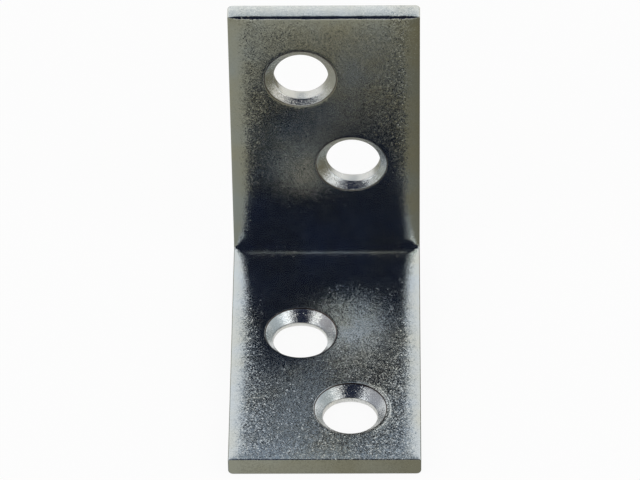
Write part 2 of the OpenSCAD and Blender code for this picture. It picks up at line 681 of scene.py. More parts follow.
        # Fold's axis as seen from the arc's centre, and where a line from it meets the arc
        axis_out, axis_up = inner_r + depth, inner_r + depth - arc_r
        lean = -(axis_out * np.sin(angle) + axis_up * np.cos(angle))
        reach = np.sqrt(lean * lean - axis_out ** 2 - axis_up ** 2 + arc_r ** 2) - lean
        in_fold = np.maximum(reach, inner_r + side_drop) - inner_r
        along = np.maximum(np.abs(y) - self.half_fold, 0)
        # The flank's arc is never followed past its own end
        from_bottom = np.minimum(inner_r + along + depth, 0.999 * arc_r)
        below = depth - arc_r + np.sqrt(arc_r ** 2 - from_bottom ** 2) - side_drop
        # Softly the deeper of the face and the flank
        on_leg = side_drop + (below + np.sqrt(below * below + self.crease_blend ** 2 / 16)) / 2
        from_bead = (inner_r + along - self.crease_half_w - self.bead_out) / self.bead_w
        bead = self.bead_h * np.exp(-from_bead ** 2) * np.clip(1 - side_drop / depth, 0, 1)
        return np.where(along > 0, on_leg - bead, in_fold)

    def lines_across(self) -> np.ndarray:
        """Places the mesh's lines across the faces, between the outer face's rounded edges.

        Returns:
            Their X.
        """
        reach = self.width / 2 - self.outer_edge_r
        cells = 2 * round(reach / self.grid)
        return np.linspace(-reach, reach, cells + 1)

    def stations(self) -> tuple[np.ndarray, np.ndarray]:
        """Stations along the strip from the base leg's cut end to the wall leg's.

        Returns:
            Their Y, and how far round the cut end's edge each is: -1 at the base leg's cut end, 1 at
            the wall leg's, and 0 from where the edges' rounding begins.
        """
        turned = np.linspace(1, 0, END_STATIONS)
        fold_zone = self.half_fold + self.crease_half_w
        middle = np.linspace(-fold_zone, fold_zone, 2 * round(fold_zone / self.fold_grid) + 1)
        halves = []
        for leg, length in ((Leg.BASE, self.base_leg), (Leg.WALL, self.wall_leg)):
            end = abs(self.flat_y(leg, length))
            start = end - self.end_roll_l
            plain = np.linspace(start, fold_zone, round((start - fold_zone) / self.grid) + 1)
            reach = np.concatenate([np.full(len(turned), end), end - SETTLE_STEPS, plain[:-1]])
            edge = np.concatenate([turned, np.zeros(len(SETTLE_STEPS) + len(plain) - 1)])
            halves.append((leg.value * reach, leg.value * edge))
        (base_y, base_edge), (wall_y, wall_edge) = halves
        y = np.concatenate([base_y, middle, wall_y[::-1]])
        edge = np.concatenate([base_edge, np.zeros(len(middle)), wall_edge[::-1]])
        return y, edge

    def end_radius(self, rows: np.ndarray, leg: Leg) -> np.ndarray:
        """Radius of a cut end's edge at each point of the section.

        Args:
            rows: The section's points, as X, height and share of the drop.
            leg: The leg whose end it is.

        Returns:
            The radii.
        """
        if leg is Leg.BASE:
            return np.full(len(rows), self.end_edge_r)
        across = rows[:, 0] / self.width
        waves = sum(np.cos(2 * math.pi * (count * across + shift)) for count, shift in EDGE_WAVES)
        inner = self.sheared_edge_r + self.sheared_waver * waves / len(EDGE_WAVES)
        share = np.clip((rows[:, 1] / self.thickness - 0.5) * 2, 0, 1)
        # The edge narrows to both corners, where it meets the long edges' own rounding
        grown = self.width / 2 - np.abs(rows[:, 0]) - self.sheared_clear
        share = share * np.clip(grown / (self.sheared_run - self.sheared_clear), 0, 1)
        return self.end_edge_r + (inner - self.end_edge_r) * share

    def side_outline(self) -> np.ndarray:
        """Outline of the right long edge, from the inner face's last line to the outer face's first.

        Returns:
            Rows of X, height and the share of the inner face's drop that each point takes.
        """
        half_w, edge = self.width / 2, self.inner_edge_r
        roll = np.linspace(half_w - self.outer_edge_r, half_w - edge, ROLL_LINES)[1:]
        rows = [(x, self.thickness, 1.0) for x in roll]
        for turn in np.radians(CORNER_TURNS):
            height = self.thickness - edge * (1 - math.cos(turn))
            rows.append((half_w - edge + edge * math.sin(turn), height, 1.0))
        for height in SIDE_HEIGHTS:
            rows.append((half_w, height, height / self.thickness))
        for turn in np.radians(np.linspace(0, 90, ROUND_LINES)[:-1]):
            x = half_w - self.outer_edge_r * (1 - math.cos(turn))
            rows.append((x, self.outer_edge_r * (1 - math.sin(turn)), 0.0))
        return np.array(rows)

    def section(self) -> tuple[np.ndarray, int]:
        """Closed outline of the flat section, turning right from the inner face's left end.

        Returns:
            Rows of X, height and share of the drop, and the number of lines across each face.
        """
        across = self.lines_across()
        ones = np.ones(len(across))
        inner = np.stack([across, self.thickness * ones, ones], -1)
        outer = np.stack([across[::-1], 0 * ones, 0 * ones], -1)
        right = self.side_outline()
        left = right[::-1] * [-1, 1, 1]
        return np.concatenate([inner, right, outer, left]), len(across)

    def surface(self) -> tuple[np.ndarray, int]:
        """Every point of the strip's long surface.

        Returns:
            Array of stations by section points by X, Y and Z, and the lines across each face.
        """
        rows, lines = self.section()
        y, edge = self.stations()
        base_r, wall_r = (self.end_radius(rows, leg) for leg in Leg)
        radius = np.where(y[:, None] > 0, wall_r, base_r)
        turn = np.abs(edge)[:, None] * QUARTER_TURN
        # The rounding reaches one station past those that are turned, on both legs
        rounded = (edge != 0) | (np.roll(edge, 1) < 0) | (np.roll(edge, -1) > 0)
        along = np.where(rounded[:, None], np.sign(y)[:, None] * radius * (1 - np.sin(turn)), 0)
        near_end = np.clip(1 - (y[-1] - y) / self.fall_run, 0, 1)[:, None]
        fall = self.sheared_fall * near_end * (1 - rows[:, 1] / self.thickness)
        y = y[:, None] - along - fall
        inset = radius * (1 - np.cos(turn))
        x = rows[:, 0]
        side_drop = self.side_drop(x)[None, :] * (1 - self.levelled(y))
        drop = self.crease_drop(y, side_drop) + self.end_drop(y)
        height = rows[:, 1] - drop * rows[:, 2]
        # Inward direction of the section, for the rounded edges of the cut ends
        ahead = np.roll(rows[:, :2], -1, 0) - np.roll(rows[:, :2], 1, 0)
        inward = np.stack([ahead[:, 1], -ahead[:, 0]], -1)
        inward /= np.linalg.norm(inward, axis=1)[:, None]
        points = np.empty((*y.shape, 3))
        points[..., 0] = x + inset * inward[:, 0]
        points[..., 1] = y
        points[..., 2] = height + inset * inward[:, 1]
        return points, lines

    def add_end(self, skin: Skin, ring: np.ndarray, lines: int, flip: bool) -> None:
        """Closes a cut end.

        Args:
            skin: The skin that receives the faces.
            ring: Point numbers of the end's ring.
            lines: Lines across each face.
            flip: Whether the end looks along -Y.
        """
        side = (len(ring) - 2 * lines) // 2
        inner = ring[:lines]
        outer = ring[lines + side:2 * lines + side][::-1]
        faces = [(inner[i], inner[i + 1], outer[i + 1], outer[i]) for i in range(lines - 1)]
        faces.append((inner[-1], *ring[lines:lines + side], outer[-1]))
        faces.append((outer[0], *ring[2 * lines + side:], inner[0]))
        for corners in faces:
            skin.add_face(corners[::-1] if flip else corners, Zone.CUT_END)

    def patch(self, points: np.ndarray, lines: int, site: HoleSite) -> tuple[int, int]:
        """First line and first station of the square patch round a hole.

        Args:
            points: The strip's surface.
            lines: Lines across each face.
            site: The hole.

        Returns:
            Number of the first line and of the first station.
        """
        half = self.patch_cells // 2
        line = int(np.argmin(np.abs(points[0, :lines, 0] - site.right)))
        at = self.flat_y(site.leg, self.thickness + site.out)
        station = int(np.argmin(np.abs(points[:, 0, 1] - at)))
        return line - half, station - half

    def flat_object(self, hole: ScrewHole) -> bpy.types.Object:
        """Makes the flat strip, with round openings at its holes and a loose point on each axis.

        Args:
            hole: The hole whose collar the openings take.

        Returns:
            The object. Its hole_turn attribute is 0 on the strip and 1 or more on the loose points,
            whose bore_shift attribute says how far off-centre the bore is and whose lip_h attribute
            says how high a lip stands.
        """
        points, lines = self.surface()
        skin = Skin()
        numbers = skin.add_points(points)
        ring_length = points.shape[1]
        opened = np.zeros((len(points) - 1, ring_length), bool)
        for site in self.sites:
            self.open_hole(skin, points, numbers, lines, opened, site, hole)
        for station in range(len(points) - 1):
            here, there = numbers[station], numbers[station + 1]
            for start in range(ring_length):
                if not opened[station, start]:
                    end = (start + 1) % ring_length
                    skin.add_face((here[start], here[end], there[end], there[start]), Zone.FACE)
        self.add_end(skin, numbers[0], lines, flip=True)
        self.add_end(skin, numbers[-1], lines, flip=False)
        skin.drop_unused()
        turns = np.zeros(skin.count + len(self.sites), int)
        shifts = np.zeros((len(turns), 3))
        lips = np.zeros(len(turns))
        turns[skin.count:] = [1 + site.turn_steps for site in self.sites]
        shifts[skin.count:, 0] = [site.bore_right for site in self.sites]
        shifts[skin.count:, 1] = [site.leg.value * site.bore_out for site in self.sites]
        shifts[skin.count:, 2] = [site.bore_rise for site in self.sites]
        lips[skin.count:] = [site.lip_h for site in self.sites]
        for site in self.sites:
            skin.add_points(np.array([self.axis_point(site)]))
        made = skin.to_object("flat_strip")
        store_points(made, "hole_turn", "INT", turns)
        store_points(made, "bore_shift", "FLOAT_VECTOR", shifts)
        store_points(made, "lip_h", "FLOAT", lips)
        return made

    def axis_point(self, site: HoleSite) -> tuple[float, float, float]:
        """Point of a hole's axis on the flat strip's outer face."""
        return site.right, self.flat_y(site.leg, self.thickness + site.out), 0.0

    def open_hole(self, skin: Skin, points: np.ndarray, numbers: np.ndarray, lines: int,
                  opened: np.ndarray, site: HoleSite, hole: ScrewHole) -> None:
        """Leaves out a square patch of both faces and closes it up to the hole's collar.

        Args:
            skin: The skin that receives the points and faces.
            points: The strip's surface.
            numbers: Point numbers of the surface.
            lines: Lines across each face.
            opened: Marks of the faces that are left out, which this call adds to.
            site: The hole's place.
            hole: The hole's sizes.
        """
        first, start = self.patch(points, lines, site)
        cells = self.patch_cells
        last, stop = first + cells, start + cells
        # The outer face's lines run the other way, and its last one is this
        far = lines + points.shape[1] // 2 - 1
        opened[start:stop, first:last] = True
        opened[start:stop, far - last:far - first] = True
        centre = np.array(self.axis_point(site))
        angles = hole.angles()
        circle = np.stack([np.cos(angles), np.sin(angles), 0 * angles], -1) * hole.collar_r
        for mirror, height in ((False, self.thickness), (True, 0.0)):
            columns = far - np.arange(first, last + 1) if mirror else np.arange(first, last + 1)
            rim = [(start, column) for column in columns[:-1]]
            rim += [(station, columns[-1]) for station in range(start, stop)]
            rim += [(stop, column) for column in columns[:0:-1]]
            rim += [(station, columns[0]) for station in range(stop, start, -1)]
            outer = np.array([numbers[station, column] for station, column in rim])
            outer_at = np.array([points[station, column] for station, column in rim])
            goal = centre + circle + [0, 0, height]
            for share in COLLAR_STEPS:
                ring = skin.add_points(outer_at + share * (goal - outer_at))
                skin.bridge(ring if mirror else outer, outer if mirror else ring, Zone.FACE)
                outer = ring


@dataclass
class FoldTree:
    """Geometry Nodes that line the strip's holes, fold it and give it its finishes.

    Attributes:
        strip: The strip.
        hole: The hole whose lining is repeated.
        heel_y: Y of the folded wall leg's outer face.
    """

    strip: Strip
    hole: ScrewHole
    heel_y: float

    def inputs(self) -> dict[str, tuple[str, object]]:
        """Named inputs of the tree.

        Returns:
            Input name to its socket type and value.
        """
        return {
            "Hole lining": ("NodeSocketObject", None),
            "Hole turn step": ("NodeSocketFloat", 2 * math.pi / self.hole.segments),
            "Join distance": ("NodeSocketFloat", 0.0005 * MM),
            "Fold half length": ("NodeSocketFloat", self.strip.half_fold),
            "Fold outer radius": ("NodeSocketFloat", self.strip.fold_outer_r),
            "Heel Y": ("NodeSocketFloat", self.heel_y),
        }

    def build(self, finishes: dict[Zone, bpy.types.Material]) -> bpy.types.NodeTree:
        """Builds the tree.

        Args:
            finishes: Material of each zone.

        Returns:
            The tree.
        """
        tree = bpy.data.node_groups.new("punch_and_fold", "GeometryNodeTree")
        tree.interface.new_socket("Geometry", in_out="INPUT", socket_type="NodeSocketGeometry")
        tree.interface.new_socket("Geometry", in_out="OUTPUT", socket_type="NodeSocketGeometry")
        for name, (kind, value) in self.inputs().items():
            socket = tree.interface.new_socket(name, in_out="INPUT", socket_type=kind)
            if value is not None:
                socket.default_value = value
        sheet = NodeSheet(tree)
        given = sheet.add("NodeGroupInput").outputs
        punched = self.line_holes(sheet, given)
        folded = self.fold(sheet, given, punched)
        smooth = sheet.add("GeometryNodeSetShadeSmooth", {"Geometry": folded})
        real = sheet.add("GeometryNodeRealizeInstances", {"Geometry": smooth.outputs[0]})
        dressed = real.outputs[0]
        zone = self.read(sheet, "zone", "INT")
        for kind, material in finishes.items():
            same = sheet.add("FunctionNodeCompare", data_type="INT", operation="EQUAL")
            whole = [socket for socket in same.inputs if socket.type == "INT"]
            sheet.feed(whole[0], zone)
            sheet.feed(whole[1], kind.value)
            chosen = {"Geometry": dressed, "Selection": same.outputs[0], "Material": material}
            dressed = sheet.add("GeometryNodeSetMaterial", chosen).outputs[0]
        sheet.add("NodeGroupOutput", {0: dressed})
        return tree

    def line_holes(self, sheet: NodeSheet, given: bpy.types.NodeOutputs) -> bpy.types.NodeSocket:
        """Puts a lining on each loose point and welds it to the strip.

        Args:
            sheet: The tree under construction.
            given: Outputs of the group's input node.

        Returns:
            Geometry of the punched flat strip, with its flat place kept in an attribute.
        """
        turn = self.read(sheet, "hole_turn", "INT")
        on_axis = {"Geometry": given["Geometry"], "Selection": sheet.math("GREATER_THAN", turn, 0.5)}
        parts = sheet.add("GeometryNodeSeparateGeometry", on_axis)
        lining = sheet.add("GeometryNodeObjectInfo", {"Object": given["Hole lining"]})
        angle = sheet.math("MULTIPLY", sheet.math("SUBTRACT", turn, 1), given["Hole turn step"])
        position = sheet.add("GeometryNodeInputPosition").outputs[0]
        centred = self.store_vector(sheet, parts.outputs["Selection"], "hole_centre", position)
        placed = sheet.add("GeometryNodeInstanceOnPoints", {
            "Points": centred,
            "Instance": lining.outputs["Geometry"],
            "Rotation": sheet.combine(Z=angle),
        })
        lined = sheet.add("GeometryNodeRealizeInstances", {"Geometry": placed.outputs[0]})
        joined = sheet.add("GeometryNodeJoinGeometry")
        for piece in (parts.outputs["Inverted"], self.shift_bores(sheet, lined.outputs[0])):
            sheet.tree.links.new(piece, joined.inputs[0])
        welded = sheet.add("GeometryNodeMergeByDistance",
                           {"Geometry": joined.outputs[0], "Distance": given["Join distance"]})
        return self.store_vector(sheet, welded.outputs[0], "flat_place", position)

    @staticmethod
    def store_vector(sheet: NodeSheet, geometry: bpy.types.NodeSocket, name: str,
                     value: bpy.types.NodeSocket) -> bpy.types.NodeSocket:
        """Keeps a vector in an attribute of each point.

        Args:
            sheet: The tree under construction.
            geometry: The geometry.
            name: Name of the attribute.
            value: The vector.

        Returns:
            The geometry with its attribute.
        """
        kept = sheet.add("GeometryNodeStoreNamedAttribute", {"Geometry": geometry, "Name": name},
                         data_type="FLOAT_VECTOR")
        sheet.feed(next(socket for socket in kept.inputs if socket.type == "VECTOR"), value)
        return kept.outputs[0]

    @staticmethod
    def read(sheet: NodeSheet, name: str, kind: str = "FLOAT_VECTOR") -> bpy.types.NodeSocket:
        """Reads an attribute of each point."""
        return sheet.add("GeometryNodeInputNamedAttribute", {"Name": name}, data_type=kind).outputs[0]

    def shift_bores(self, sheet: NodeSheet, lined: bpy.types.NodeSocket) -> bpy.types.NodeSocket:
        """Moves each bore off its countersink's middle, and raises the lip that a rim may have.

        Args:
            sheet: The tree under construction.
            lined: Geometry of the linings in place.

        Returns:
            The linings with their bores shifted.
        """
        shift = self.read(sheet, "bore_shift")
        place = sheet.add("GeometryNodeInputPosition").outputs[0]
        away = sheet.vector("SUBTRACT", place, self.read(sheet, "hole_centre"))
        outward = sheet.vector("NORMALIZE", sheet.vector("MULTIPLY", away, (1, 1, 0)))
        rise = sheet.combine(Z=sheet.vector("DOT_PRODUCT", shift, outward))
        risen = sheet.vector("ADD", shift, rise)
        offset = sheet.vector("MULTIPLY", risen, self.read(sheet, "bore_share"))
        height, part = (self.read(sheet, name, "FLOAT") for name in ("lip_h", "lip_share"))
        lip = sheet.math("MULTIPLY", height, part)
        moved = {"Geometry": lined, "Offset": sheet.vector("ADD", offset, sheet.combine(Z=lip))}
        return sheet.add("GeometryNodeSetPosition", moved).outputs[0]

    def fold(self, sheet: NodeSheet, given: bpy.types.NodeOutputs,
             flat: bpy.types.NodeSocket) -> bpy.types.NodeSocket:
        """Folds the flat strip: a quarter turn round the fold's axis, and straight on at both ends.

        Args:
            sheet: The tree under construction.
            given: Outputs of the group's input node.
            flat: Geometry of the flat strip.

        Returns:
            Geometry of the folded strip.
        """
        place = sheet.split(sheet.add("GeometryNodeInputPosition").outputs[0])
        half, outer = given["Fold half length"], given["Fold outer radius"]
        below = sheet.math("MULTIPLY", half, -1)
        bent = sheet.math("MAXIMUM", sheet.math("MINIMUM", place["Y"], half), below)
        share = sheet.math("DIVIDE", sheet.math("ADD", bent, half), sheet.math("MULTIPLY", half, 2))
        angle = sheet.math("MULTIPLY", share, QUARTER_TURN)
        sine, cosine = sheet.math("SINE", angle), sheet.math("COSINE", angle)
        radius = sheet.math("SUBTRACT", outer, place["Z"])
        straight = sheet.math("SUBTRACT", place["Y"], bent)
        axis_y = sheet.math("SUBTRACT", given["Heel Y"], outer)
        round_y, on_y = (sheet.math("MULTIPLY", *pair) for pair in ((radius, sine), (straight, cosine)))
        round_z, on_z = (sheet.math("MULTIPLY", *pair) for pair in ((radius, cosine), (straight, sine)))
        reach_y = sheet.math("ADD", round_y, on_y)
        fall_z = sheet.math("SUBTRACT", round_z, on_z)
        folded = sheet.combine(
            X=place["X"],
            Y=sheet.math("ADD", axis_y, reach_y),
            Z=sheet.math("SUBTRACT", outer, fall_z),
        )
        moved = {"Geometry": flat, "Position": folded}
        return sheet.add("GeometryNodeSetPosition", moved).outputs[0]


@dataclass(frozen=True)
class Grain:
    """Where the plate is fine and where coarse, by its place on the flat strip.

    Attributes:
        edge_span: Distances from the middle line between which the plate coarsens to the long edges.
        edge_share: How coarse that makes it.
        fold_span: Distances from the fold's middle between which that reaches its full share.
        fold_share: Share of it that is there by the fold.
        end_span: Y between which the base leg coarsens towards its free end.
        end_share: How coarse that makes it.
        patch_size: Size of the patches that are finer or coarser.
        patch_span: Values of their noise between which they change.
        patch_shares: What the finest and the coarsest of them add.
        rolled_span: Distances from the middle line between which the rolled-down edges turn fine again.
        rolled_share: Share of all this that is left on them.
    """

    edge_span: tuple[float, float] = (5.0 * MM, 7.5 * MM)
    edge_share: float = 0.7
    fold_span: tuple[float, float] = (8.0 * MM, 15.0 * MM)
    fold_share: float = 0.15
    end_span: tuple[float, float] = (-15.0 * MM, -26.0 * MM)
    end_share: float = 0.75
    patch_size: float = 5.0 * MM
    patch_span: tuple[float, float] = (0.35, 0.65)
    patch_shares: tuple[float, float] = (-0.2, 0.4)
    rolled_span: tuple[float, float] = (7.0 * MM, 8.0 * MM)
    rolled_share: float = 0.15

    def coarseness(self, sheet: NodeSheet, place: bpy.types.NodeSocket) -> bpy.types.NodeSocket:
        """Adds how coarse the plate is.

        Args:
            sheet: The tree under construction.
            place: The object's coordinates.

        Returns:
            From 0, fine, to 1, coarse.
        """
        flat = sheet.add("ShaderNodeAttribute", attribute_name="flat_place").outputs["Vector"]
        axes = sheet.split(flat)
        aside, along = sheet.math("ABSOLUTE", axes["X"]), sheet.math("ABSOLUTE", axes["Y"])
        edge = sheet.ramp(aside, self.edge_span, (0, self.edge_share))
        away = sheet.ramp(along, self.fold_span, (self.fold_share, 1))
        end = sheet.ramp(axes["Y"], self.end_span, (0, self.end_share))
        patch = sheet.ramp(sheet.noise(place, self.patch_size), self.patch_span, self.patch_shares)
        rolled = sheet.ramp(aside, self.rolled_span, (1, self.rolled_share))
        total = sheet.math("ADD", sheet.math("MULTIPLY", edge, away), end)
        spread = sheet.math("MULTIPLY", sheet.math("ADD", total, patch), rolled)
        return sheet.add("ShaderNodeClamp", {"Value": spread}).outputs[0]


@dataclass(frozen=True)
class ZincFinish:
    """Bright zinc plate over steel, as it looks on one kind of surface.

    The plate is a mass of tiny crystals. Each fleck of them leans its own way, and that breaks a
    reflection up into light and dark specks.

    Attributes:
        name: Name of the material.
        cool: Colour where the passivation runs cool, and where the tint painted by height runs cool.
        warm: Colour where it runs warm, likewise.
        warmth: Share of warm plate low down, and how much more there is at the top; the change with
            height is a painted tint of the reflections there.
        roughness: Lowest and highest roughness.
        haze_sizes: Sizes of the crystals too small to see, whose leans only blur a reflection.
        haze_lean: How far those lean across the strip and along it, as slopes.
        fleck_size: Size of the flecks that can be seen.
        fleck_lean: How far the flecks lean, as a slope, where the plate is fine and coarse.
        cluster_lean: How far clusters of flecks lean together, likewise.
        pit_size: Size of the dull pits in the plate.
        pit_depth: How much duller the deepest of them are where the plate is coarse, as a share.
        marks: Height of tool marks.
        marks_on: Attribute that the marks go by, such as hole_place, with its radius, height and angle.
        marks_scale: Marks for each unit of that attribute's three values.
        ripple_h: Height of the slow unevenness.
        ripple_size: Its size.
        tint_size: Size of the warm and cool patches.
        tint_spread: How far their warmth lies from the mean, to both sides.
        climb: Heights between which the painted reflection tint changes the plate's warmth.
        rough_size: Size of the rougher and smoother patches.
        grain: Where the plate is coarse.
    """

    name: str
    cool: tuple[float, float, float]
    warm: tuple[float, float, float]
    warmth: tuple[float, float]
    roughness: tuple[float, float]
    haze_sizes: tuple[float, float] = (0.020 * MM, 0.033 * MM)
    haze_lean: tuple[float, float] = (0.11, 0.11)
    fleck_size: float = 0.10 * MM
    fleck_lean: tuple[float, float] = (0.045, 0.20)
    cluster_lean: tuple[float, float] = (0.01, 0.04)
    pit_size: float = 0.12 * MM
    pit_depth: float = 0.5
    marks: float = 0
    marks_on: str = "hole_place"
    marks_scale: tuple[float, float, float] = (0, 0, 0)
    ripple_h: float = 0.003 * MM
    ripple_size: float = 3.0 * MM
    tint_size: float = 4.0 * MM
    tint_spread: float = 0.5
    climb: tuple[float, float] = (2.0 * MM, 12.0 * MM)
    rough_size: float = 0.8 * MM
    grain: Grain = Grain()

    def fleck(self, sheet: NodeSheet, place: bpy.types.NodeSocket, size: float) -> bpy.types.NodeSocket:
        """Adds a random vector for each fleck of one size, with each part from -0.5 to 0.5.

        Args:
            sheet: The tree under construction.
            place: Coordinates in metres.
            size: Size of a fleck.

        Returns:
            The vector.
        """
        cells = sheet.add("ShaderNodeTexVoronoi", {"Vector": place, "Scale": 1 / size}).outputs["Color"]
        return sheet.vector("SUBTRACT", cells, (0.5, 0.5, 0.5))

    def colour(self, sheet: NodeSheet, place: bpy.types.NodeSocket,
               coarse: bpy.types.NodeSocket) -> bpy.types.NodeSocket:
        """Adds the plate's colour in patches, with a painted reflection tint that changes with height,
        and with its dull pits.

        Args:
            sheet: The tree under construction.
            place: The object's coordinates.
            coarse: How coarse the plate is, from 0 to 1.

        Returns:
            The colour.
        """
        low, more = self.warmth
        # Painted reflection tint: the plate turns warmer or cooler with height only because it mirrors
        # other surroundings there
        painted_height_tint = sheet.ramp(sheet.split(place)["Z"], self.climb, (low, low + more))
        patches = sheet.noise(place, self.tint_size)
        patch = sheet.ramp(patches, NOISE_SPAN, (-self.tint_spread, self.tint_spread))
        share = sheet.add("ShaderNodeMath", {0: painted_height_tint, 1: patch}, operation="ADD", use_clamp=True)
        colour = sheet.mix(share.outputs[0], (*self.cool, 1), (*self.warm, 1))
        pit = sheet.ramp(sheet.split(self.fleck(sheet, place, self.pit_size))["Z"], PIT_SPAN)
        depth = sheet.math("MULTIPLY", pit, sheet.math("MULTIPLY", coarse, self.pit_depth))
        return sheet.vector("SCALE", colour, sheet.math("SUBTRACT", 1, depth))

    def relief(self, sheet: NodeSheet, place: bpy.types.NodeSocket,
               coarse: bpy.types.NodeSocket) -> bpy.types.NodeSocket:
        """Adds the plate's fine relief: leaning flecks, slow unevenness and tool marks.

        Args:
            sheet: The tree under construction.
            place: The object's coordinates.
            coarse: How coarse the plate is, from 0 to 1.

        Returns:
            The shader's normal.
        """
        normal = sheet.add("ShaderNodeNewGeometry").outputs["Normal"]
        across, along = self.haze_lean
        leans = [
            sheet.vector("MULTIPLY", self.fleck(sheet, place, size), (across, along, along))
            for size in self.haze_sizes
        ]
        cluster_size = CLUSTER_SCALE * self.fleck_size
        for size, slopes in ((self.fleck_size, self.fleck_lean), (cluster_size, self.cluster_lean)):
            slope = sheet.ramp(coarse, (0, 1), slopes)
            lean = self.fleck(sheet, place, size)
            # Few flecks lean far and most hardly at all
            far = sheet.math("MULTIPLY", sheet.vector("LENGTH", lean), TAIL_SCALE)
            rare = sheet.math("POWER", far, TAIL_POWER)
            leans.append(sheet.vector("SCALE", lean, sheet.math("MULTIPLY", slope, rare)))
        for lean in leans:
            normal = sheet.vector("ADD", normal, lean)
        normal = sheet.vector("NORMALIZE", normal)
        uneven = sheet.noise(place, self.ripple_size, detail=2)
        ripple = {"Height": uneven, "Distance": self.ripple_h, "Normal": normal}
        normal = sheet.add("ShaderNodeBump", ripple).outputs[0]
        if self.marks:
            marked = sheet.add("ShaderNodeAttribute", attribute_name=self.marks_on).outputs["Vector"]
            scaled = sheet.vector("MULTIPLY", marked, self.marks_scale)
            lines = sheet.noise(scaled, size=1.0, detail=2)
            cut = {"Height": lines, "Distance": self.marks, "Normal": normal}
            normal = sheet.add("ShaderNodeBump", cut).outputs[0]
        return normal

    def build(self) -> bpy.types.Material:
        """Makes the material.

        Returns:
            The material.
        """
        material = bpy.data.materials.new(self.name)
        material.use_nodes = True
        material.node_tree.nodes.clear()
        sheet = NodeSheet(material.node_tree)
        place = sheet.add("ShaderNodeTexCoord").outputs["Object"]
        coarse = self.grain.coarseness(sheet, place)
        shader = sheet.add("ShaderNodeBsdfPrincipled", {
            "Base Color": self.colour(sheet, place, coarse),
            "Metallic": 1.0,
            "Roughness": sheet.ramp(sheet.noise(place, self.rough_size), NOISE_SPAN, self.roughness),
            "Normal": self.relief(sheet, place, coarse),
        })
        sheet.add("ShaderNodeOutputMaterial", {"Surface": shader.outputs[0]})
        return material


FINISHES: dict[Zone, ZincFinish] = {
    Zone.FACE: ZincFinish(
        name="rolled_zinc",
        cool=(0.57, 0.62, 0.65),
        warm=(0.605, 0.60, 0.51),
        # Warmer up the wall leg: a painted tint of the warm reflections there
        warmth=(0.2, 0.5),
        roughness=(0.10, 0.14),
    ),
    Zone.CUT_END: ZincFinish(
        name="sheared_zinc",
        cool=(0.79, 0.82, 0.80),
        warm=(0.70, 0.70, 0.62),
        # Warmer at the base leg's end, cooler at the wall leg's: a painted tint of the table and the sky
        # that these ends mirror
        warmth=(0.6, -0.4),
        roughness=(0.14, 0.22),
        fleck_lean=(0.02, 0.05),
        pit_depth=0.15,
        marks=0.003 * MM,
        marks_on="flat_place",
        marks_scale=(6500, 0, 350),
    ),
    Zone.COUNTERSINK: ZincFinish(
        name="countersink_zinc",
        cool=(0.64, 0.68, 0.70),
        warm=(0.66, 0.65, 0.60),
        warmth=(0.2, 0.3),
        roughness=(0.15, 0.22),
        haze_lean=(0.16, 0.16),
        fleck_size=0.06 * MM,
        fleck_lean=(0.12, 0.12),
        cluster_lean=(0.02, 0.02),
        pit_size=0.08 * MM,
        pit_depth=0.4,
        ripple_h=0.001 * MM,
    ),
    # Painted shade: a near-black colour on the thin ring round each rim, standing in for the shade along
    # the hole's edge
    Zone.RIM: ZincFinish(
        name="worn_rim_zinc",
        cool=(0.08, 0.075, 0.08),
        warm=(0.10, 0.075, 0.06),
        warmth=(0.5, 0.1),
        roughness=(0.30, 0.40),
    ),
    Zone.BORE: ZincFinish(
        name="punched_zinc",
        cool=(0.68, 0.70, 0.70),
        warm=(0.66, 0.65, 0.59),
        warmth=(0.5, 0.1),
        roughness=(0.25, 0.38),
        marks=0.010 * MM,
        marks_scale=(400, 400, 22),
    ),
}


@dataclass
class Bracket:
    """The folded bracket, in the row's frame.

    Attributes:
        low: Lowest corner of the solid.
        high: Highest corner of the solid.
    """

    low: Vector
    high: Vector

    def strip(self) -> Strip:
        """Flat strip whose folded size is the solid's."""
        size = self.high - self.low
        return Strip(width=size.x, base_leg=size.y, wall_leg=size.z)

    def build(self) -> bpy.types.Object:
        """Makes the strip, folds it and bakes the result to a plain mesh.

        Returns:
            The bracket's object, at the origin.
        """
        strip = self.strip()
        hole = ScrewHole(thickness=strip.thickness)
        lining = hole.lining()
        flat = strip.flat_object(hole)
        finishes = {zone: finish.build() for zone, finish in FINISHES.items()}
        tree = FoldTree(strip, hole, heel_y=self.high.y).build(finishes)
        modifier = flat.modifiers.new("punch_and_fold", "NODES")
        modifier.node_group = tree
        for item in tree.interface.items_tree:
            if item.item_type == "SOCKET" and item.in_out == "INPUT" and item.name == "Hole lining":
                modifier[item.identifier] = lining
        return self.bake(flat, lining)

    def bake(self, flat: bpy.types.Object, lining: bpy.types.Object) -> bpy.types.Object:
        """Turns the modifier's result into a plain mesh and removes what made it.

        Args:
            flat: The flat strip with its modifier.
            lining: The lining that the modifier repeats.

        Returns:
            The baked object.
        """
        graph = bpy.context.evaluated_depsgraph_get()
        folded = flat.evaluated_get(graph)
        mesh = bpy.data.meshes.new_from_object(folded, preserve_all_data_layers=True, depsgraph=graph)
        mesh.name = "folded_strip"
        for slot in reversed(range(len(mesh.materials))):
            if mesh.materials[slot] is None:
                mesh.materials.pop(index=slot)
        for name in HELPER_ATTRIBUTES:
            if name in mesh.attributes:
                mesh.attributes.remove(mesh.attributes[name])
        flat.modifiers.clear()
        for helper in (flat, lining):
            bpy.data.objects.remove(helper, do_unlink=True)
        made = bpy.data.objects.new("folded_strip", mesh)
        bpy.context.scene.collection.objects.link(made)
        return made


def seen_directly(sheet: NodeSheet) -> bpy.types.NodeSocket:
    """Adds a switch for what the camera sees, straight, mirrored or through glass.

    Args:
        sheet: The tree under construction.

    Returns:
        1 for what is seen, and 0 for what only gives light.
    """
    path = sheet.add("ShaderNodeLightPath").outputs
    mirrored = sheet.math("MAXIMUM", path["Is Glossy Ray"], path["Is Transmission Ray"])
    return sheet.math("MAXIMUM", path["Is Camera Ray"], mirrored)


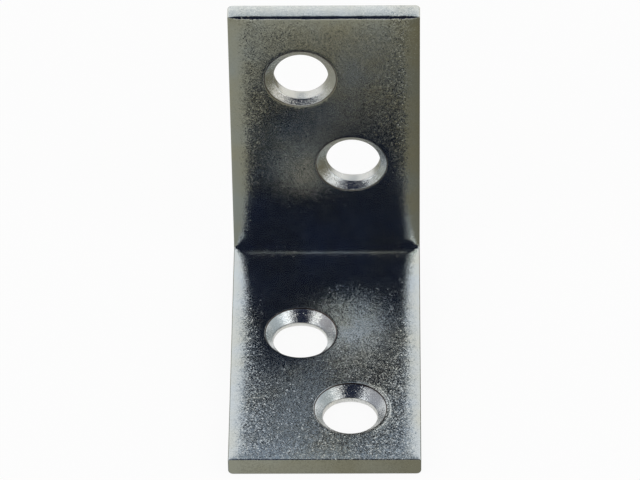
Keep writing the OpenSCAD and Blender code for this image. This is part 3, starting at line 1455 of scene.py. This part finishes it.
def seen_material(name: str, colour: Sequence[float], glow: Sequence[float],
                  share: float) -> bpy.types.Material:
    """Makes a matt material that shows a plain colour where it is seen and takes light all the same.

    Args:
        name: Name of the material.
        colour: Colour by which it takes light.
        glow: Plain colour where it is seen.
        share: Share of the plain colour.

    Returns:
        The material.
    """
    material = bpy.data.materials.new(name)
    material.use_nodes = True
    material.node_tree.nodes.clear()
    sheet = NodeSheet(material.node_tree)
    lit = sheet.add("ShaderNodeBsdfDiffuse", {"Color": (*colour, 1)})
    plain = sheet.add("ShaderNodeEmission", {"Color": (*glow, 1), "Strength": 1.0})
    amount = sheet.math("MULTIPLY", seen_directly(sheet), share)
    mixed = sheet.add("ShaderNodeMixShader", {0: amount, 1: lit.outputs[0], 2: plain.outputs[0]})
    sheet.add("ShaderNodeOutputMaterial", {"Surface": mixed.outputs[0]})
    return material


@dataclass(frozen=True)
class Card:
    """A bent card that only the metal mirrors: a piece of a ball round the bracket.

    Attributes:
        name: Name of its object.
        colour: Its colour.
        turn: Turn of its middle from straight in front, in degrees.
        sides: How far it reaches to the left and right of there, in degrees.
        heights: Elevation of its lower and upper edge, in degrees.
        distance: Its distance from the bracket.
    """

    name: str
    colour: tuple[float, float, float]
    turn: float
    sides: tuple[float, float]
    heights: tuple[float, float]
    distance: float

    def skin(self) -> Skin:
        """Gathers the card's mesh.

        Returns:
            Its skin, round the origin.
        """
        across = np.radians(np.linspace(*self.sides, CARD_GRID[0]))
        up = np.radians(np.linspace(*self.heights, CARD_GRID[1]))
        side, rise = np.meshgrid(across, up)
        points = np.stack([np.sin(side), -np.cos(side) * np.cos(rise), np.cos(side) * np.sin(rise)], -1)
        turned = points @ np.array(Matrix.Rotation(math.radians(self.turn), 3, "Z")).T
        skin = Skin()
        rows = skin.add_points(turned * self.distance)
        for lower, upper in zip(rows, rows[1:]):
            skin.bridge(lower, upper, Zone.FACE, closed=False)
        return skin


@dataclass
class Studio:
    """Floor, soft light and the cards that the metal mirrors.

    Attributes:
        footprint: Lowest and highest corner of the bracket.
        hole_spots: X and Y of the base leg's holes.
        floor_r: Radius of the floor.
        floor_colour: Colour of the floor.
        floor_glow: Share of plain white in the floor as it is seen, the rest being lit.
        sky_level: Strength of the world as it lights the scene.
        card_glow: Share of a card's own colour in it as it is seen, the rest being lit.
        table_sides: Colour of the table that shows in the metal, but not behind it, at its left
            and its right.
        table_turn: Distance from the middle at which the table has its left or right colour.
        table_front: Colour of that table further out in front.
        table_run: How far in front of the origin it starts and stops to change to that.
        table_r: Radius of that table.
        card_lift: Height of the table over the floor, and of each card on it over the one below.
        shade_colour: Colour of the table under the bracket, in its shade.
        pool: Lowest and highest corner of the light that falls through a hole of the base leg onto
            the table, from the hole's middle.
        pool_colour: Colour by which it takes light.
        cards: The dark card above and behind the camera, the pale one above and behind the bracket
            and a darker one over it, and one at each side.
        box_size: Side of each square softbox.
        box_level: Strength of the softboxes as the metal shows them, where 1 is white.
        box_distance: Distance of the softboxes from the bracket.
        box_azimuth: Turn of the softboxes from straight in front, to both sides, in degrees.
        box_elevation: Height of the softboxes above the horizon, in degrees.
    """

    footprint: tuple[Vector, Vector]
    hole_spots: Sequence[tuple[float, float]]
    floor_r: float = 3.0
    floor_colour: tuple[float, float, float] = (0.85, 0.85, 0.85)
    floor_glow: float = 0.92
    sky_level: float = 0.75
    card_glow: float = 0.8
    table_sides: tuple[tuple[float, float, float], ...] = ((0.37, 0.37, 0.32), (0.175, 0.165, 0.12))
    table_turn: float = 22 * MM
    table_front: tuple[float, float, float] = (0.42, 0.42, 0.37)
    table_run: tuple[float, float] = (18 * MM, 50 * MM)
    table_r: float = 0.14
    card_lift: float = 0.02 * MM
    shade_colour: tuple[float, float, float] = (0.035, 0.036, 0.03)
    pool: tuple[tuple[float, float], ...] = ((-2.6 * MM, 0.6 * MM), (2.6 * MM, 3.2 * MM))
    pool_colour: tuple[float, float, float] = (0.9, 0.9, 0.9)
    cards: tuple[Card, ...] = (
        Card("dark_card", (0.016, 0.021, 0.043), 0, (-34, 24), (4, 108), 0.45),
        Card("back_card", (0.48, 0.53, 0.59), 180, (-11, 11), (38, 49), 0.5),
        Card("high_card", (0.34, 0.39, 0.45), 180, (-11, 11), (49, 85), 0.5),
        Card("left_card", (0.46, 0.46, 0.50), -90, (-25, 25), (3, 60), 0.5),
        Card("right_card", (0.55, 0.60, 0.62), 90, (-25, 25), (3, 60), 0.5),
    )
    box_size: float = 0.36
    box_level: float = 1.3
    box_distance: float = 0.7
    box_azimuth: float = 62
    box_elevation: float = 32

    def build(self) -> None:
        """Makes the studio."""
        self.light_world()
        self.lay_floor()
        self.lay_table()
        for card in self.cards:
            material = seen_material(card.name, card.colour, card.colour, self.card_glow)
            self.show_in_metal_only(self.add_stage(card.skin(), card.name, material))
        self.stand_softboxes()

    def light_world(self) -> None:
        """Makes the world white where it is seen, and softer where it lights."""
        world = bpy.data.worlds.new("white_surround")
        world.use_nodes = True
        world.node_tree.nodes.clear()
        sheet = NodeSheet(world.node_tree)
        seen = seen_directly(sheet)
        level = sheet.math("ADD", sheet.math("MULTIPLY", seen, 1 - self.sky_level), self.sky_level)
        shader = sheet.add("ShaderNodeBackground", {"Color": (1, 1, 1, 1), "Strength": level})
        sheet.add("ShaderNodeOutputWorld", {"Surface": shader.outputs[0]})
        bpy.context.scene.world = world

    def lay_floor(self) -> None:
        """Lays the pale floor, white where it is seen and with the bracket's shadow on it."""
        material = seen_material("pale_floor", self.floor_colour, (1, 1, 1), self.floor_glow)
        self.add_stage(self.disc(self.floor_r, 0), "floor", material)

    def lay_table(self) -> None:
        """Lays the grey table that only the metal mirrors, a hair above the floor."""
        material = seen_material("grey_table", self.table_front, self.table_front, self.card_glow)
        sheet = NodeSheet(material.node_tree)
        place = sheet.split(sheet.add("ShaderNodeTexCoord").outputs["Object"])
        left, right = ((*colour, 1) for colour in self.table_sides)
        across = sheet.ramp(place["X"], (-self.table_turn, self.table_turn), smooth=True)
        start, stop = self.table_run
        ahead = sheet.ramp(place["Y"], (-start, -stop), smooth=True)
        colour = sheet.mix(ahead, sheet.mix(across, left, right), (*self.table_front, 1))
        for node in material.node_tree.nodes:
            if node.type in ("EMISSION", "BSDF_DIFFUSE"):
                sheet.feed(node.inputs["Color"], colour)
        card = self.add_stage(self.disc(self.table_r, self.card_lift), "table_card", material)
        self.show_in_metal_only(card)
        material = seen_material("shaded_table", self.shade_colour, self.shade_colour, self.card_glow)
        shade = self.rectangle(*self.footprint, 2 * self.card_lift)
        self.show_in_metal_only(self.add_stage(shade, "shade_card", material))
        material = seen_material("lit_table", self.pool_colour, (1, 1, 1), self.card_glow)
        low, high = (Vector(corner) for corner in self.pool)
        for number, spot in enumerate(self.hole_spots):
            pool = self.rectangle(low + Vector(spot), high + Vector(spot), 3 * self.card_lift)
            self.show_in_metal_only(self.add_stage(pool, f"light_pool_{number}", material))

    def stand_softboxes(self) -> None:
        """Stands one softbox on each side of the bracket, facing it."""
        rise = math.radians(self.box_elevation)
        level = math.cos(rise)
        for name, side in (("left_softbox", -1), ("right_softbox", 1)):
            turn = side * math.radians(self.box_azimuth)
            away = Vector((math.sin(turn) * level, -math.cos(turn) * level, math.sin(rise)))
            data = bpy.data.lights.new(name, "AREA")
            data.shape = "SQUARE"
            data.size = self.box_size
            data.energy = self.box_level * math.pi * self.box_size ** 2
            lamp = bpy.data.objects.new(name, data)
            lamp.location = away * self.box_distance
            lamp.rotation_euler = away.to_track_quat("Z", "Y").to_euler()
            bpy.context.scene.collection.objects.link(lamp)

    @staticmethod
    def rectangle(low: Vector, high: Vector, height: float) -> Skin:
        """Gathers a flat square-cornered card.

        Args:
            low: Its lowest X and Y.
            high: Its highest X and Y.
            height: Its height over the floor.

        Returns:
            Its skin.
        """
        corners = [(low.x, low.y), (high.x, low.y), (high.x, high.y), (low.x, high.y)]
        skin = Skin()
        skin.add_face(skin.add_points(np.array([(*corner, height) for corner in corners])), Zone.FACE)
        return skin

    @staticmethod
    def disc(radius: float, height: float) -> Skin:
        """Gathers a flat round card.

        Args:
            radius: Radius of the card.
            height: Its height over the floor.

        Returns:
            Its skin.
        """
        turns = np.linspace(0, 2 * math.pi, DISC_POINTS, endpoint=False)
        skin = Skin()
        rim = np.stack([radius * np.cos(turns), radius * np.sin(turns), height + 0 * turns], -1)
        skin.add_face(skin.add_points(rim), Zone.FACE)
        return skin

    @staticmethod
    def add_stage(skin: Skin, name: str, material: bpy.types.Material) -> bpy.types.Object:
        """Makes a stage object of a skin.

        Args:
            skin: The skin.
            name: Name of the object.
            material: Its material.

        Returns:
            The object, with its material.
        """
        made = skin.to_object(name)
        made.data.materials.append(material)
        return made

    @staticmethod
    def show_in_metal_only(card: bpy.types.Object) -> None:
        """Lets a card show in the metal only, so that it neither hides nor shades the floor.

        Args:
            card: The card.
        """
        card.visible_camera = False
        card.visible_diffuse = False
        card.visible_transmission = False
        card.visible_shadow = False


@dataclass
class Viewpoint:
    """The photograph's camera.

    Attributes:
        azimuth: Turn round the bracket from straight in front, in degrees.
        elevation: Height above the horizon, in degrees.
        roll: Turn about the line of sight, in degrees.
        distance: Distance from the inside corner.
        field_px: Focal length in pixels of the picture.
        picture_px: Width of the picture in pixels.
        corner_px: Where the middle of the inside corner shows, right of and below the centre.
    """

    azimuth: float = 1.071
    elevation: float = 42.684
    roll: float = -0.879
    distance: float = 512.3 * MM
    field_px: float = 5470
    picture_px: float = 640
    corner_px: tuple[float, float] = (6.8, 6.8)

    def build(self, corner: Vector) -> bpy.types.Object:
        """Makes the camera and looks through it.

        Args:
            corner: Middle of the bracket's inside corner.

        Returns:
            The camera.
        """
        azimuth, elevation = math.radians(self.azimuth), math.radians(self.elevation)
        level = math.cos(elevation)
        back = Vector((math.sin(azimuth) * level, -math.cos(azimuth) * level, math.sin(elevation)))
        right = Vector((math.cos(azimuth), math.sin(azimuth), 0))
        up = back.cross(right)
        roll = Matrix.Rotation(math.radians(self.roll), 3, back)
        right, up = roll @ right, roll @ up
        per_px = self.distance / self.field_px
        target = corner - right * self.corner_px[0] * per_px + up * self.corner_px[1] * per_px
        data = bpy.data.cameras.new("photo_camera")
        data.sensor_width = FILM_WIDTH
        data.lens = self.field_px * data.sensor_width / self.picture_px
        data.clip_start, data.clip_end = CLIP_RANGE
        camera = bpy.data.objects.new("photo_camera", data)
        turn = Matrix((right, up, back)).transposed().to_4x4()
        camera.matrix_world = Matrix.Translation(target + back * self.distance) @ turn
        bpy.context.scene.collection.objects.link(camera)
        bpy.context.scene.camera = camera
        return camera


def main() -> None:
    """Builds the bracket and its studio in order, and reports each piece."""
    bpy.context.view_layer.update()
    low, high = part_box("bracket")
    bracket = Bracket(low, high)
    strip = bracket.strip()
    corner = Vector((0, high.y - strip.thickness, low.z + strip.thickness))
    camera = Viewpoint().build(corner)
    LOG.info("camera at %s", tuple(round(value, 4) for value in camera.location))
    piece = bracket.build()
    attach(piece, "root")
    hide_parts("bracket")
    LOG.info("%s: %d points, %d faces", piece.name, len(piece.data.vertices), len(piece.data.polygons))
    spots = [(site.right, corner.y - site.out) for site in strip.sites if site.leg is Leg.BASE]
    Studio((low, high), spots).build()
    bpy.context.scene.view_settings.view_transform = "Standard"


if __name__ == "__main__":
    main()
